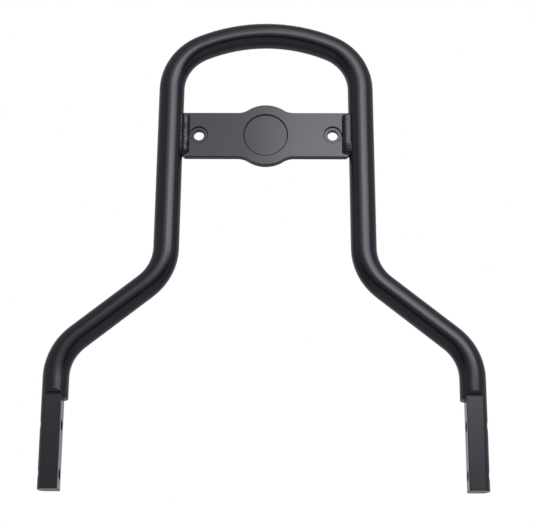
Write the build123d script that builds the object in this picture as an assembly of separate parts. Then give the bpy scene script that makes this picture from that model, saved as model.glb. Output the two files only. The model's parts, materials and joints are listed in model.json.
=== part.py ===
from build123d import *
import os
from math import sqrt

# Sissy bar upright, in millimetres: a round steel bar bent in one plane, with milled and drilled leg
# ends, and a cross plate for a backrest pad welded between its sides. +Z is up, X runs across the
# motorcycle, the show side with the recess faces -Y and the pad goes on the +Y side. The origin is midway
# between the two legs, at the height of their lower ends.

# Bar stock and its bends, measured at the bar's centreline and listed from the crown down to a leg
bar_diameter = 15.875
crown_radius = 101.6
crown_half_angle = 23.5
bend_radius = 31.75
side_splay = 0.5
side_length = 105.2
flare_angle = 50.75
slant_length = 51.25
shank_length = 13.1

# Milled and tapped leg ends, flat inside, in front and behind, and round outside
leg_thickness = 12.7
leg_width = 12.7
inner_flat_length = 54.0
face_flat_length = 55.3
cutter_radius = 4.76
leg_edge_round = 0.5
leg_end_chamfer = 0.4
leg_hole_diameter = 6.5
leg_hole_end_distance = 9.1
leg_hole_spacing = 29.2

# Cross plate, placed by its drop below the corner bends
plate_drop = 31.45
plate_height = 29.5
plate_thickness = 4.76
plate_corner_radius = 3.0
plate_edge_round = 0.4
boss_rise = 5.25
boss_blend_radius = 12.0
recess_rim = 6.7
recess_depth = 0.95
recess_slope = 0.7
pad_hole_spacing = 83.8
pad_hole_diameter = 6.5
counterbore_diameter = 10.8
counterbore_depth = 1.2
hole_rim_chamfer = 0.35

# Fillet welds between the plate and the bar, on both faces of the plate
weld_leg_on_plate = 4.65
weld_rise_on_bar = 1.9
weld_crown = 2.0
weld_end_round = 3.0
weld_trim_margin = 0.5
weld_start_below_edge = 0.6
weld_stop_above_edge = 1.4

bar_radius = bar_diameter / 2
half_thickness = plate_thickness / 2
boss_radius = plate_height / 2 + boss_rise
recess_radius = boss_radius - recess_rim


def bend_line():
    """Right half of the bar's centreline in the XZ plane, one edge per bend or run, from crown to leg end."""
    crown = JernArc((0, 0), (1, 0), crown_radius, -crown_half_angle)
    corner = JernArc(crown @ 1, crown % 1, bend_radius, crown_half_angle + side_splay - 90)
    side = PolarLine(corner @ 1, side_length, direction=corner % 1)
    flare = JernArc(side @ 1, side % 1, bend_radius, flare_angle)
    slant = PolarLine(flare @ 1, slant_length, direction=flare % 1)
    straighten = JernArc(slant @ 1, slant % 1, bend_radius, -flare_angle - side_splay)
    leg = PolarLine(straighten @ 1, shank_length + inner_flat_length, direction=straighten % 1)
    leg_end_height = (leg @ 1).Y
    run = [crown, corner, side, flare, slant, straighten, leg]
    return [Plane.XZ * Pos(0, -leg_end_height) * edge for edge in run]


half_line = bend_line()
corner_end = half_line[1] @ 1
side_direction = half_line[2] % 0
leg_x = (half_line[-1] @ 1).X

plate_z = corner_end.Z - plate_drop
side_x = corner_end.X - plate_drop * side_direction.X / side_direction.Z
plate_end_x = side_x - sqrt(bar_radius**2 - half_thickness**2)


def on_both_sides(solid):
    """A feature of the right leg or side, together with its mirror image on the left."""
    return [solid, mirror(solid, about=Plane.YZ)]


def bent_bar():
    """Round bar swept along the centreline from the crown to the right leg end, and mirrored."""
    section = Plane(half_line[0] @ 0, z_dir=half_line[0] % 0) * Circle(bar_radius)
    right_half = sweep(section, path=Wire(half_line))
    return right_half + mirror(right_half, about=Plane.YZ)


def leg_flats_cutter():
    """Material milled off the right leg round the section that stays, up to the square inner shoulder."""
    reach = 2 * bar_diameter
    inner_flat_x = leg_x + bar_radius - leg_width
    kept = Pos(inner_flat_x, 0) * Rectangle(reach, leg_thickness, align=(Align.MIN, Align.CENTER))
    kept = fillet(kept.vertices().group_by(Axis.X)[0], leg_edge_round)
    milled = Pos(leg_x, 0) * Rectangle(reach, reach) - kept
    return extrude(milled, inner_flat_length)


def face_runout_cutter(face_side):
    """Round cutter's track along a leg's front or rear flat, where it runs out through the bar's surface."""
    track = Rectangle(2 * cutter_radius, face_flat_length, align=(Align.CENTER, Align.MIN))
    track += Pos(0, face_flat_length) * Circle(cutter_radius)
    axis_y = face_side * (leg_thickness / 2 + cutter_radius)
    return Pos(leg_x, axis_y, 0) * extrude(Plane.YZ * track, bar_diameter, both=True)


def leg_hole(height):
    """Hole across the right leg, as wide as its thread."""
    return Pos(leg_x, 0, height) * Rot(0, 90, 0) * Cylinder(leg_hole_diameter / 2, 2 * bar_diameter)


def upright_bar(blank):
    """Bent bar with its leg ends milled, their end edges broken, and drilled."""
    bar = blank
    for cutter in (leg_flats_cutter(), face_runout_cutter(-1), face_runout_cutter(1)):
        bar -= on_both_sides(cutter)
    bar = chamfer(bar.faces().group_by(Axis.Z)[0].edges(), leg_end_chamfer)
    for height in (leg_hole_end_distance, leg_hole_end_distance + leg_hole_spacing):
        bar -= on_both_sides(leg_hole(height))
    return bar


def plate_outline():
    """Front view of the plate: a strip from bar centre to bar centre with a round boss blended into it."""
    outline = Rectangle(2 * side_x, plate_height) + Circle(boss_radius)
    boss_corners = outline.vertices().group_by(SortBy.DISTANCE)[0]
    return fillet(boss_corners, boss_blend_radius)


def plate_corner_cutter():
    """What rounds off the plate's lower right corner, next to the bar and below the welds."""
    corner = Rectangle(plate_corner_radius, plate_corner_radius, align=(Align.MIN, Align.MAX))
    corner -= Circle(plate_corner_radius)
    corner += Pos(plate_corner_radius, 0) * Rectangle(
        bar_radius, plate_corner_radius, align=(Align.MIN, Align.MAX)
    )
    corner = Pos(plate_end_x - plate_corner_radius, plate_corner_radius - plate_height / 2) * corner
    return extrude(Plane.XZ * corner, plate_thickness, both=True)


def plate_face_edges(plate):
    """Edges of the plate's outermost front and rear faces: its outline and the rims of its holes."""
    levels = plate.faces().filter_by(Axis.Y).group_by(Axis.Y)
    return levels[0].edges() + levels[-1].edges()


def closed_edges(plate):
    """Full circles on the plate: the edges of its holes, counterbores and recess, at all depths."""
    return plate.edges().filter_by(lambda edge: edge.is_closed)


def backrest_plate(blank):
    """Cross plate with its recess and counterbored holes on the show side, and its ends coped to the bar."""
    plate = extrude(Plane.XZ * plate_outline(), half_thickness, both=True)
    show_face = Plane((0, -half_thickness, 0), x_dir=(1, 0, 0), z_dir=(0, -1, 0))
    plate -= extrude(show_face * Circle(recess_radius), -recess_depth)
    for x in (-pad_hole_spacing / 2, pad_hole_spacing / 2):
        plate -= extrude(show_face * Pos(x, 0) * Circle(pad_hole_diameter / 2), -plate_thickness)
        plate -= extrude(show_face * Pos(x, 0) * Circle(counterbore_diameter / 2), -counterbore_depth)
    outline_edges = plate_face_edges(plate).filter_by(lambda edge: not edge.is_closed)
    plate = fillet(outline_edges - outline_edges.filter_by(Axis.Z), plate_edge_round)
    recess_edges = closed_edges(plate).group_by(SortBy.RADIUS)[-1]
    plate = chamfer(recess_edges.group_by(Axis.Y)[0], recess_slope)
    hole_rims, counterbore_edges = closed_edges(plate).group_by(SortBy.RADIUS)[:2]
    plate = chamfer(hole_rims + counterbore_edges.group_by(Axis.Y)[0], hole_rim_chamfer)
    plate -= on_both_sides(plate_corner_cutter())
    return Pos(0, 0, plate_z) * plate - blank


def weld_bead(blank):
    """Convex fillet weld on the right end of the plate's rear face, short of its upper and lower edges."""
    bar_toe_y = half_thickness + weld_rise_on_bar
    plate_toe = Vector(plate_end_x - weld_leg_on_plate, half_thickness)
    bar_toe = Vector(side_x - sqrt(bar_radius**2 - bar_toe_y**2), bar_toe_y)
    face = SagittaArc(plate_toe, bar_toe, weld_crown)
    root = Polyline(bar_toe, (side_x, bar_toe_y), (side_x, half_thickness), plate_toe)
    section = make_face(face + root)
    bead = extrude(section, plate_height / 2, both=True)

    width = side_x - plate_toe.X + weld_trim_margin
    height = plate_height - weld_start_below_edge - weld_stop_above_edge
    plan = Rectangle(width, height, align=(Align.MAX, Align.MAX))
    plan = fillet(plan.vertices().group_by(Axis.X)[0], weld_end_round)
    plan = Pos(side_x, plate_height / 2 - weld_start_below_edge) * plan
    trim = extrude(Plane.XZ * plan, bar_diameter, both=True)
    return Pos(0, 0, plate_z) * (bead & trim) - blank


blank = bent_bar()
rear_right_weld, rear_left_weld = on_both_sides(weld_bead(blank))
pieces = {
    "upright_bar": upright_bar(blank),
    "backrest_plate": backrest_plate(blank),
    "weld_rear_right": rear_right_weld,
    "weld_rear_left": rear_left_weld,
    "weld_front_right": mirror(rear_right_weld, about=Plane.XZ),
    "weld_front_left": mirror(rear_left_weld, about=Plane.XZ),
}

os.makedirs("parts", exist_ok=True)
for name, piece in pieces.items():
    export_step(piece, f"parts/{name}.step")
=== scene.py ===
import json
from math import pi, radians, sqrt

import bpy
from mathutils import Matrix, Vector


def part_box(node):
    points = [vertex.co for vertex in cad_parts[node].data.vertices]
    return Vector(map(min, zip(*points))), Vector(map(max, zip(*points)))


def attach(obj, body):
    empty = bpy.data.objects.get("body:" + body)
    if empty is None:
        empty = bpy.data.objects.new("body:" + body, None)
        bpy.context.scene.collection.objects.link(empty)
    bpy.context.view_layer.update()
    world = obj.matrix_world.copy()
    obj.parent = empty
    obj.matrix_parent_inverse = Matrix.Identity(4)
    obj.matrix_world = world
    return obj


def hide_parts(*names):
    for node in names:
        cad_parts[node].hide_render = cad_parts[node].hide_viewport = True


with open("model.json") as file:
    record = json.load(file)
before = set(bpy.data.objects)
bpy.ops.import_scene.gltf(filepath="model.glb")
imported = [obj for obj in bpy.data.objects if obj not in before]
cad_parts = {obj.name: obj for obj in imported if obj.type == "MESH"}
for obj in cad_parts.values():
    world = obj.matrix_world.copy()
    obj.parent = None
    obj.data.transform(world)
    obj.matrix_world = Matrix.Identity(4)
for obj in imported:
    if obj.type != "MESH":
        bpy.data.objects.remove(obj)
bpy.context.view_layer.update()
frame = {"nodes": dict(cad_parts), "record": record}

# Upright bar: one solid round steel bar, bent cold in one plane, with its leg ends milled flat and tapped.
# After welding, the whole weldment is blasted, sprayed with one smooth black powder coat and baked.
# The coat is glossy on the drawn round bar, with a faint orange peel and some slightly duller patches.
coat_colour = (0.0056, 0.0053, 0.0102, 1.0)
thin_coat_colour = (0.0072, 0.0067, 0.0116, 1.0)
coat_reflection_tint = (0.92, 0.91, 1.0, 1.0)
gloss_patch_size = 0.018
gloss_patch_spread = 0.03
gloss_patch_detail = 3
peel_detail = 2


def feed(tree, socket, value):
    """Link the socket to another one in the tree, or set it to a plain value."""
    if isinstance(value, bpy.types.NodeSocket):
        tree.links.new(value, socket)
    else:
        socket.default_value = value


def add_node(tree, kind, options=None, **inputs):
    """New node in the tree with these options, and with its named inputs fed."""
    node = tree.nodes.new(kind)
    for name, value in (options or {}).items():
        setattr(node, name, value)
    for name, value in inputs.items():
        feed(tree, node.inputs[name.replace("_", " ")], value)
    return node


def powder_coat(name, roughness, peel_size, peel_depth):
    """Black powder coat with orange peel of that size and depth, and patches of uneven gloss and colour."""
    coat = bpy.data.materials.new(name)
    coat.use_nodes = True
    tree = coat.node_tree
    shader = tree.nodes["Principled BSDF"]
    shader.inputs["Specular Tint"].default_value = coat_reflection_tint
    place = add_node(tree, "ShaderNodeTexCoord").outputs["Object"]

    patches = add_node(
        tree, "ShaderNodeTexNoise", Vector=place, Scale=1 / gloss_patch_size, Detail=gloss_patch_detail
    ).outputs["Fac"]
    gloss = add_node(
        tree,
        "ShaderNodeMapRange",
        Value=patches,
        To_Min=roughness - gloss_patch_spread,
        To_Max=roughness + gloss_patch_spread,
    )
    feed(tree, shader.inputs["Roughness"], gloss.outputs["Result"])
    colour = add_node(
        tree, "ShaderNodeMix", {"data_type": "RGBA"}, Factor=patches, A=coat_colour, B=thin_coat_colour
    )
    feed(tree, shader.inputs["Base Color"], colour.outputs["Result"])

    peel = add_node(tree, "ShaderNodeTexNoise", Vector=place, Scale=1 / peel_size, Detail=peel_detail)
    relief = add_node(tree, "ShaderNodeBump", Height=peel.outputs["Fac"], Distance=peel_depth)
    feed(tree, shader.inputs["Normal"], relief.outputs["Normal"])
    return coat


bar_coat = powder_coat("bar_coat", roughness=0.14, peel_size=0.0016, peel_depth=0.000004)
frame["nodes"]["upright_bar"].data.materials[0] = bar_coat

# Backrest plate: a flat steel plate cut to its outline, with a shallow round recess and two counterbored bolt
# holes milled in its show side, and its ends coped to fit the bar. It has the same powder coat as the bar,
# which flows out a little smoother on the flat plate than on the round bar.
plate_coat = powder_coat("plate_coat", roughness=0.10, peel_size=0.0014, peel_depth=0.000004)
frame["nodes"]["backrest_plate"].data.materials[0] = plate_coat

# Welds: four convex beads laid by hand in the corners between the plate's faces and the bar, each a row of
# overlapping puddles of weld metal that dies out short of the plate's edges. Most have a second pass on the
# bar's side. They are left as laid and coated over, so that the coat softens their ripples.
bead_root_depth = 0.0009
bead_step = 0.0002
bead_section_points = 96
least_swell = 0.05
ripple_pitch = 0.0015
ripple_height = 0.00006
ripple_bow = 0.0012
wobble_size = 0.004
wobble_detail = 1
upper_taper = 0.002
lean_length = 0.010


def add_maths(tree, kind, operation, terms):
    """Outputs of a new maths node in the tree, with its inputs fed the terms in their order."""
    node = add_node(tree, kind, {"operation": operation})
    for socket, term in zip(node.inputs, terms):
        feed(tree, socket, term)
    return node.outputs


def node_maths(tree):
    """Function that adds a Math node with the given terms to the tree, and gives its result."""

    def calculate(operation, *terms):
        return add_maths(tree, "ShaderNodeMath", operation, terms)["Value"]

    return calculate


def axes_of(tree, vector):
    """The vector's three axes, as numbers."""
    return add_node(tree, "ShaderNodeSeparateXYZ", Vector=vector).outputs


def from_axes(tree, **axes):
    """Vector with the given axes, and zero on the others."""
    return add_node(tree, "ShaderNodeCombineXYZ", **axes).outputs["Vector"]


def open_tree(name, sockets):
    """New geometry node tree with the given named inputs, its input sockets and its output node."""
    tree = bpy.data.node_groups.new(name, "GeometryNodeTree")
    for socket_name, socket_type in sockets.items():
        tree.interface.new_socket(socket_name, in_out="INPUT", socket_type=socket_type)
    tree.interface.new_socket("Shape", in_out="OUTPUT", socket_type="NodeSocketGeometry")
    return tree, tree.nodes.new("NodeGroupInput").outputs, tree.nodes.new("NodeGroupOutput")


def keep_value(tree, geometry, name, value):
    """Geometry that carries the value along under that name, and the value as it was kept."""
    keeper = add_node(tree, "GeometryNodeCaptureAttribute", Geometry=geometry)
    keeper.capture_items.new("FLOAT", name)
    feed(tree, keeper.inputs[name], value)
    return keeper.outputs["Geometry"], keeper.outputs[name]


def finish_tree(tree, shape, coat, result):
    """Smooth shading, real geometry and the coat, at the end of a tree."""
    smooth = add_node(tree, "GeometryNodeSetShadeSmooth", Geometry=shape)
    real = add_node(tree, "GeometryNodeRealizeInstances", Geometry=smooth.outputs["Geometry"])
    coated = add_node(tree, "GeometryNodeSetMaterial", Geometry=real.outputs["Geometry"], Material=coat)
    feed(tree, result.inputs["Shape"], coated.outputs["Geometry"])


def grown_piece(name, tree, sizes):
    """Plain mesh piece that the tree makes from the given sizes, riding on the part."""
    seed_mesh = bpy.data.meshes.new(name + "_seed")
    grower = bpy.data.objects.new(name + "_grower", seed_mesh)
    bpy.context.scene.collection.objects.link(grower)
    modifier = grower.modifiers.new("shape", "NODES")
    modifier.node_group = tree
    for socket in tree.interface.items_tree:
        if socket.in_out == "INPUT":
            modifier[socket.identifier] = sizes[socket.name]
    evaluated = grower.evaluated_get(bpy.context.evaluated_depsgraph_get())
    mesh = bpy.data.meshes.new_from_object(evaluated)
    mesh.name = name
    bpy.data.objects.remove(grower)
    bpy.data.meshes.remove(seed_mesh)
    piece = bpy.data.objects.new(name, mesh)
    bpy.context.scene.collection.objects.link(piece)
    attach(piece, "root")
    return piece


def weld_bead_tree():
    """Bead along a corner, of one pass or two, with a buried root, ends that die out and crescent ripples."""
    sockets = {
        "Lower End": "NodeSocketVector",
        "Upper End": "NodeSocketVector",
        "Bead Radius": "NodeSocketFloat",
        "Bead Centre": "NodeSocketVector",
        "Second Pass Radius": "NodeSocketFloat",
        "Second Pass Shift": "NodeSocketVector",
        "Root Depth": "NodeSocketFloat",
        "Outward Turn": "NodeSocketFloat",
        "Lower Taper": "NodeSocketFloat",
        "Upper Taper": "NodeSocketFloat",
        "Bar Side": "NodeSocketFloat",
        "Lower Lean": "NodeSocketFloat",
        "Lower Sinking": "NodeSocketFloat",
        "Lean Length": "NodeSocketFloat",
        "Ripple Pitch": "NodeSocketFloat",
        "Ripple Height": "NodeSocketFloat",
        "Ripple Bow": "NodeSocketFloat",
        "Wobble Height": "NodeSocketFloat",
        "Wobble Size": "NodeSocketFloat",
        "Seed": "NodeSocketFloat",
        "Coat": "NodeSocketMaterial",
    }
    tree, given, result = open_tree("weld_bead", sockets)
    calculate = node_maths(tree)

    def square(number):
        return calculate("POWER", number, 2.0)

    def vector_maths(operation, *terms):
        return add_maths(tree, "ShaderNodeVectorMath", operation, terms)

    def scaled(vector, scale):
        node = add_node(tree, "ShaderNodeVectorMath", {"operation": "SCALE"}, Vector=vector, Scale=scale)
        return node.outputs["Vector"]

    def rounded_end(distance, taper):
        """Share of the full size at that distance from an end that is rounded off over the taper."""
        share = calculate("MINIMUM", calculate("DIVIDE", distance, taper), 1.0)
        return calculate("SQRT", calculate("SUBTRACT", 1.0, square(calculate("SUBTRACT", 1.0, share))))

    # Path up the corner, along which the bead swells from its ends to its full size
    line = add_node(tree, "GeometryNodeCurvePrimitiveLine", Start=given["Lower End"], End=given["Upper End"])
    steps = add_node(
        tree, "GeometryNodeResampleCurve", {"mode": "LENGTH"}, Curve=line.outputs["Curve"], Length=bead_step
    )
    from_lower_end = add_node(tree, "GeometryNodeSplineParameter").outputs["Length"]
    whole_length = add_node(tree, "GeometryNodeSplineLength").outputs["Length"]
    path, travel = keep_value(tree, steps.outputs["Curve"], "travel", from_lower_end)
    lower_end = rounded_end(from_lower_end, given["Lower Taper"])
    upper_end = rounded_end(calculate("SUBTRACT", whole_length, from_lower_end), given["Upper Taper"])
    swell = calculate("MAXIMUM", calculate("MULTIPLY", lower_end, upper_end), least_swell)

    # Section of the bead: round, pushed out where the second pass reaches further, and flat at its root
    circle = add_node(
        tree, "GeometryNodeCurvePrimitiveCircle", Resolution=bead_section_points, Radius=given["Bead Radius"]
    )
    position = add_node(tree, "GeometryNodeInputPosition").outputs["Position"]
    ray = vector_maths("NORMALIZE", position)["Vector"]
    section, across = keep_value(tree, circle.outputs["Curve"], "across", axes_of(tree, ray)["X"])
    along_ray = vector_maths("DOT_PRODUCT", given["Second Pass Shift"], ray)["Value"]
    shift = vector_maths("LENGTH", given["Second Pass Shift"])["Value"]
    off_ray_squared = calculate("SUBTRACT", square(shift), square(along_ray))
    chord_squared = calculate("SUBTRACT", square(given["Second Pass Radius"]), off_ray_squared)
    half_chord = calculate("SQRT", calculate("MAXIMUM", chord_squared, 0.0))
    reach = calculate("MAXIMUM", given["Bead Radius"], calculate("ADD", along_ray, half_chord))
    outline = axes_of(tree, vector_maths("ADD", scaled(ray, reach), given["Bead Centre"])["Vector"])
    root_level = calculate("MULTIPLY", given["Root Depth"], -1.0)
    rooted = from_axes(tree, X=outline["X"], Y=calculate("MAXIMUM", outline["Y"], root_level))
    shaped = add_node(tree, "GeometryNodeSetPosition", Geometry=section, Position=rooted)
    outward = from_axes(tree, Z=given["Outward Turn"])
    turned = add_node(tree, "GeometryNodeTransform", Geometry=shaped.outputs["Geometry"], Rotation=outward)
    sweep = add_node(
        tree,
        "GeometryNodeCurveToMesh",
        Curve=path,
        Profile_Curve=turned.outputs["Geometry"],
        Scale=swell,
        Fill_Caps=True,
    )

    # Crescent ripples and a slow wobble, along the surface's normal
    bow = calculate("MULTIPLY", square(across), given["Ripple Bow"])
    puddle = calculate("DIVIDE", calculate("ADD", travel, bow), given["Ripple Pitch"])
    crest = calculate("ABSOLUTE", calculate("SINE", calculate("MULTIPLY", puddle, pi)))
    ripple = calculate("MULTIPLY", calculate("SUBTRACT", crest, 1.0), given["Ripple Height"])
    noise = add_node(
        tree,
        "ShaderNodeTexNoise",
        {"noise_dimensions": "4D"},
        W=given["Seed"],
        Scale=calculate("DIVIDE", 1.0, given["Wobble Size"]),
        Detail=wobble_detail,
    )
    wobble = calculate("MULTIPLY", calculate("SUBTRACT", noise.outputs["Fac"], 0.5), given["Wobble Height"])
    normal = add_node(tree, "GeometryNodeInputNormal").outputs["Normal"]
    rippled = add_node(
        tree,
        "GeometryNodeSetPosition",
        Geometry=sweep.outputs["Mesh"],
        Offset=scaled(normal, calculate("ADD", ripple, wobble)),
    )

    # Lower end, which leans over to the bar and sinks towards the plate
    near_lower_end = calculate("SUBTRACT", 1.0, calculate("DIVIDE", travel, given["Lean Length"]))
    lower_share = square(calculate("MAXIMUM", near_lower_end, 0.0))
    bar_share = calculate("MULTIPLY_ADD", calculate("MULTIPLY", across, given["Bar Side"]), 0.5, 0.5)
    lean = calculate("MULTIPLY", calculate("MULTIPLY", lower_share, bar_share), given["Lower Lean"])
    off_corner = axes_of(tree, vector_maths("SUBTRACT", position, given["Lower End"])["Vector"])
    sinking = calculate("MULTIPLY", lower_share, given["Lower Sinking"])
    leaning = add_node(
        tree,
        "GeometryNodeSetPosition",
        Geometry=rippled.outputs["Geometry"],
        Offset=from_axes(tree, X=lean, Y=calculate("MULTIPLY", off_corner["Y"], sinking)),
    )
    finish_tree(tree, leaning.outputs["Geometry"], given["Coat"], result)
    return tree


weld_coat = powder_coat("weld_coat", roughness=0.18, peel_size=0.0012, peel_depth=0.000006)
bead_tree = weld_bead_tree()
plate_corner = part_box("backrest_plate")[1]


def lay_weld(
    name, seed, bead_radius, wobble_height, lower_taper, lower_lean, lower_sinking,
    second_radius=0.0, second_shift=(0.0, 0.0),
):
    """Bead in place of the smooth weld of that name, with the same toe on the plate, crest and ends."""
    low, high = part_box(name)
    side = 1 if low.x > 0 else -1
    face = 1 if low.y > 0 else -1
    bar_side = side * face
    plate_toe_x = min(abs(low.x), abs(high.x))
    crest_y = max(abs(low.y), abs(high.y))
    centre_rise = crest_y - bead_radius - plate_corner.y
    centre_x = plate_toe_x + sqrt(bead_radius**2 - centre_rise**2)
    second_across, second_outward = second_shift
    sizes = {
        "Lower End": (side * plate_corner.x, face * plate_corner.y, low.z),
        "Upper End": (side * plate_corner.x, face * plate_corner.y, high.z),
        "Bead Radius": bead_radius,
        "Bead Centre": (bar_side * (centre_x - plate_corner.x), centre_rise, 0.0),
        "Second Pass Radius": second_radius,
        "Second Pass Shift": (bar_side * second_across, second_outward, 0.0),
        "Root Depth": bead_root_depth,
        "Outward Turn": 0.0 if face > 0 else pi,
        "Lower Taper": lower_taper,
        "Upper Taper": upper_taper,
        "Bar Side": float(bar_side),
        "Lower Lean": side * lower_lean,
        "Lower Sinking": -lower_sinking,
        "Lean Length": lean_length,
        "Ripple Pitch": ripple_pitch,
        "Ripple Height": ripple_height,
        "Ripple Bow": ripple_bow,
        "Wobble Height": wobble_height,
        "Wobble Size": wobble_size,
        "Seed": float(seed),
        "Coat": weld_coat,
    }
    bead = grown_piece(name + "_bead", bead_tree, sizes)
    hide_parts(name)


lay_weld(
    "weld_front_left", seed=5, bead_radius=0.0028, wobble_height=0.0010,
    lower_taper=0.0030, lower_lean=0.0, lower_sinking=0.2,
    second_radius=0.0013, second_shift=(0.0026, 0.0008),
)
lay_weld(
    "weld_front_right", seed=8, bead_radius=0.0029, wobble_height=0.0003,
    lower_taper=0.0016, lower_lean=0.003, lower_sinking=0.6,
    second_radius=0.0030, second_shift=(0.0010, -0.0001),
)
lay_weld(
    "weld_rear_left", seed=12, bead_radius=0.00314, wobble_height=0.0003,
    lower_taper=0.0030, lower_lean=0.004, lower_sinking=0.4,
)
lay_weld(
    "weld_rear_right", seed=17, bead_radius=0.00314, wobble_height=0.0003,
    lower_taper=0.0040, lower_lean=0.0, lower_sinking=0.1,
    second_radius=0.0017, second_shift=(0.0023, 0.0011),
)

# Leg threads: coarse quarter-inch threads tapped in both holes of each leg end, for the bolts of the fender
# brackets. They are cut before coating and take only a thin, dull coat.
thread_pitch = 0.00127
thread_depth = 0.0006
thread_sink = 0.0001
thread_flank = 0.0005
thread_start = 0.0012
thread_turns = 8
thread_points_per_turn = 32


def leg_thread_tree():
    """Four right-handed thread ridges, in two holes one above the other in each of the two legs."""
    sockets = {
        "Bore Radius": "NodeSocketFloat",
        "Thread Pitch": "NodeSocketFloat",
        "Thread Depth": "NodeSocketFloat",
        "Thread Sink": "NodeSocketFloat",
        "Thread Flank": "NodeSocketFloat",
        "Turns": "NodeSocketFloat",
        "Leg Distance": "NodeSocketFloat",
        "Hole Spacing": "NodeSocketFloat",
        "Middle Height": "NodeSocketFloat",
        "Coat": "NodeSocketMaterial",
    }
    tree, given, result = open_tree("leg_threads", sockets)
    calculate = node_maths(tree)

    # Ridge of triangular section, swept along a helix and centred on its hole's axis
    height = calculate("MULTIPLY", given["Turns"], given["Thread Pitch"])
    spiral = add_node(
        tree,
        "GeometryNodeCurveSpiral",
        Resolution=thread_points_per_turn,
        Rotations=given["Turns"],
        Start_Radius=given["Bore Radius"],
        End_Radius=given["Bore Radius"],
        Height=height,
        Reverse=True,
    )
    upright = add_node(tree, "GeometryNodeSetCurveNormal", {"mode": "Z_UP"}, Curve=spiral.outputs["Curve"])
    sunk = calculate("MULTIPLY", given["Thread Sink"], -1.0)
    down = calculate("MULTIPLY", given["Thread Flank"], -1.0)
    ridge = add_node(
        tree,
        "GeometryNodeCurvePrimitiveQuadrilateral",
        {"mode": "POINTS"},
        Point_1=from_axes(tree, X=given["Thread Depth"]),
        Point_2=from_axes(tree, X=sunk, Y=given["Thread Flank"]),
        Point_3=from_axes(tree, X=sunk),
        Point_4=from_axes(tree, X=sunk, Y=down),
    )
    sweep = add_node(
        tree,
        "GeometryNodeCurveToMesh",
        Curve=upright.outputs["Curve"],
        Profile_Curve=ridge.outputs["Curve"],
        Fill_Caps=True,
    )
    centred = add_node(
        tree,
        "GeometryNodeTransform",
        Geometry=sweep.outputs["Mesh"],
        Translation=from_axes(tree, Z=calculate("MULTIPLY", height, -0.5)),
    )
    across = add_node(
        tree, "GeometryNodeTransform", Geometry=centred.outputs["Geometry"], Rotation=(0, radians(90), 0)
    )

    # Corners of an upright grid, one for each hole
    holes = add_node(
        tree,
        "GeometryNodeMeshGrid",
        Size_X=given["Leg Distance"],
        Size_Y=given["Hole Spacing"],
        Vertices_X=2,
        Vertices_Y=2,
    )
    standing = add_node(
        tree,
        "GeometryNodeTransform",
        Geometry=holes.outputs["Mesh"],
        Translation=from_axes(tree, Z=given["Middle Height"]),
        Rotation=(radians(90), 0, 0),
    )
    threads = add_node(
        tree,
        "GeometryNodeInstanceOnPoints",
        Points=standing.outputs["Geometry"],
        Instance=across.outputs["Geometry"],
    )
    finish_tree(tree, threads.outputs["Instances"], given["Coat"], result)
    return tree


thread_coat = powder_coat("thread_coat", roughness=0.32, peel_size=0.0008, peel_depth=0.000003)
mounts = {mount["name"]: mount for mount in frame["record"]["mounts"]}
leg_bolts = mounts["right_leg_bolts"]
bolts_middle = Vector(leg_bolts["pos_m"])
thread_sizes = {
    "Bore Radius": leg_bolts["dims"]["hole_r_mm"] / 1000,
    "Thread Pitch": thread_pitch,
    "Thread Depth": thread_depth,
    "Thread Sink": thread_sink,
    "Thread Flank": thread_flank,
    "Turns": float(thread_turns),
    "Leg Distance": 2 * (bolts_middle.x + thread_start + thread_turns * thread_pitch / 2),
    "Hole Spacing": leg_bolts["dims"]["spacing_y_mm"] / 1000,
    "Middle Height": bolts_middle.z,
    "Coat": thread_coat,
}
grown_piece("leg_threads", leg_thread_tree(), thread_sizes)

# Floor: a plain pale surface, well below the part, whose legs are bolted on and don't stand on anything.
# It takes the part's soft shadow, and the coat doesn't mirror it.
floor_drop = 0.45
floor_size = 80.0
floor_colour = (0.8, 0.8, 0.8, 1.0)
floor_mesh = bpy.data.meshes.new("floor")
half = floor_size / 2
floor_corners = [(x, y, -floor_drop) for x, y in ((-half, -half), (half, -half), (half, half), (-half, half))]
floor_mesh.from_pydata(floor_corners, [], [(0, 1, 2, 3)])
floor = bpy.data.objects.new("floor", floor_mesh)
bpy.context.scene.collection.objects.link(floor)
floor_paint = bpy.data.materials.new("floor_paint")
floor_paint.use_nodes = True
floor_paint.node_tree.nodes["Principled BSDF"].inputs["Base Color"].default_value = floor_colour
floor_mesh.materials.append(floor_paint)
floor.visible_glossy = False

# World: white behind the part for the camera. In reflections it is a pale studio, a little dimmer just below
# the height of the part and low down behind it, with a dark band that bows round below the camera.
# Each fade is the stretch of a direction's axis over which one level passes into the next.
white_level = 1.0
ambient_level = 0.6
wall_level = 0.42
side_level = 0.31
floor_level = 0.45
behind_level = 0.55
low_behind_level = 0.28
dark_band_level = 0.03
dark_band_height = -0.46
dark_band_bow = 0.5
dark_band_fade = (0.2, 0.06)
floor_to_side_fade = (-0.64, -0.45)
side_to_wall_fade = (-0.1, 0.22)
front_fade = (-0.35, -0.6)
behind_fade = (0.2, 1.0)
far_behind_fade = (0.8, 0.95)
low_behind_fade = (0.1, -0.3)
world = bpy.data.worlds.new("studio")
bpy.context.scene.world = world
world.use_nodes = True
world_tree = world.node_tree
calculate = node_maths(world_tree)


def share_over(fade, value):
    """Smooth rise from 0 to 1 while the value goes from the start of the fade to its end."""
    start, stop = fade
    smooth = {"interpolation_type": "SMOOTHSTEP"}
    rise = add_node(world_tree, "ShaderNodeMapRange", smooth, Value=value, From_Min=start, From_Max=stop)
    return rise.outputs["Result"]


def blend(share, first, second):
    """Level that goes from the first to the second as the share goes from 0 to 1."""
    return add_node(world_tree, "ShaderNodeMix", Factor=share, A=first, B=second).outputs["Result"]


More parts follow.
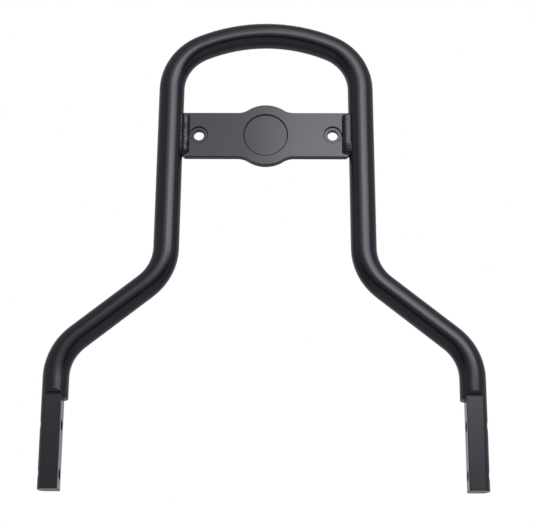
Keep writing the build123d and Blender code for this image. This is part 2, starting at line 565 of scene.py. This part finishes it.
axes = axes_of(world_tree, add_node(world_tree, "ShaderNodeTexCoord").outputs["Generated"])
below_part = blend(share_over(floor_to_side_fade, axes["Z"]), floor_level, side_level)
studio = blend(share_over(side_to_wall_fade, axes["Z"]), below_part, wall_level)
band_rise = calculate("MULTIPLY", calculate("POWER", axes["X"], 2.0), dark_band_bow)
band_middle = calculate("ADD", band_rise, dark_band_height)
off_band = calculate("ABSOLUTE", calculate("SUBTRACT", axes["Z"], band_middle))
in_band = share_over(dark_band_fade, off_band)
in_front = share_over(front_fade, axes["Y"])
shaded = blend(calculate("MULTIPLY", in_band, in_front), studio, dark_band_level)
open_behind = blend(share_over(behind_fade, axes["Y"]), shaded, behind_level)
far_behind = share_over(far_behind_fade, axes["Y"])
low_down = share_over(low_behind_fade, axes["Z"])
around = blend(calculate("MULTIPLY", far_behind, low_down), open_behind, low_behind_level)
ray_kind = add_node(world_tree, "ShaderNodeLightPath").outputs
mirrored = calculate("MAXIMUM", ray_kind["Is Glossy Ray"], ray_kind["Is Transmission Ray"])
lit = blend(mirrored, ambient_level, around)
seen = blend(ray_kind["Is Camera Ray"], lit, white_level)
background = world_tree.nodes["Background"]
background.inputs["Color"].default_value = (1, 1, 1, 1)
feed(world_tree, background.inputs["Strength"], seen)

# Softbox: in front, above and to the right, tilted down towards the part, brightest in its middle and dim
# along its left edge. Each fade is a row of places across or up the cloth, with the share of light at each.
softbox_width = 2.43
softbox_height = 2.14
softbox_radiance = 4.5
softbox_place = (0.52, -1.0, 0.78)
softbox_tilt = radians(30)
across_fade = ((0.0, 0.0), (0.27, 0.44), (0.30, 1.0), (0.40, 1.0), (0.62, 0.78), (0.82, 0.24), (1.0, 0.0))
upward_fade = (
    (0.0, 0.0), (0.18, 0.12), (0.25, 0.33), (0.36, 0.95), (0.42, 1.0), (0.60, 0.53), (0.72, 0.28), (1.0, 0.0),
)
lamp = bpy.data.lights.new("softbox", "AREA")
lamp.shape = "RECTANGLE"
lamp.size = softbox_width
lamp.size_y = softbox_height
lamp.energy = softbox_radiance * pi * softbox_width * softbox_height
lamp.use_nodes = True
lamp_tree = lamp.node_tree


def share_of_light(fade, place):
    """Share of the full light at that place, from 0 at one edge of the cloth to 1 at the other."""
    ramp = add_node(lamp_tree, "ShaderNodeValToRGB", Fac=place)
    stops = ramp.color_ramp.elements
    for position, _ in fade[1:-1]:
        stops.new(position)
    for stop, (_, level) in zip(stops, fade):
        stop.color = (level, level, level, 1)
    return ramp.outputs["Color"]


cloth = axes_of(lamp_tree, add_node(lamp_tree, "ShaderNodeTexCoord").outputs["UV"])
across_share = share_of_light(across_fade, cloth["X"])
upward_share = share_of_light(upward_fade, cloth["Y"])
glow = node_maths(lamp_tree)("MULTIPLY", across_share, upward_share)
feed(lamp_tree, lamp_tree.nodes["Emission"].inputs["Strength"], glow)
softbox = bpy.data.objects.new("softbox", lamp)
bpy.context.scene.collection.objects.link(softbox)
softbox.location = softbox_place
softbox.rotation_euler = (radians(90) - softbox_tilt, 0, 0)

# Camera: in front of the part and below it, looking up at the plate, with a hint of turn and roll.
# Its target lies in the plane of the bar.
focal_px = 1466.4
image_width_px = 533
camera_distance = 0.8957
camera_tilt = radians(17.0)
camera_turn = radians(0.69)
camera_roll = radians(0.402)
camera_target = Vector((0.00103, 0.0, 0.13958))
camera_data = bpy.data.cameras.new("camera")
camera_data.sensor_width = 36.0
camera_data.lens = focal_px * camera_data.sensor_width / image_width_px
camera = bpy.data.objects.new("camera", camera_data)
bpy.context.scene.collection.objects.link(camera)
aim = (
    Matrix.Rotation(camera_turn, 4, "Z")
    @ Matrix.Rotation(radians(90) + camera_tilt, 4, "X")
    @ Matrix.Rotation(camera_roll, 4, "Z")
)
camera.matrix_world = Matrix.Translation(camera_target) @ aim @ Matrix.Translation((0, 0, camera_distance))
bpy.context.scene.camera = camera
bpy.context.scene.view_settings.view_transform = "Standard"
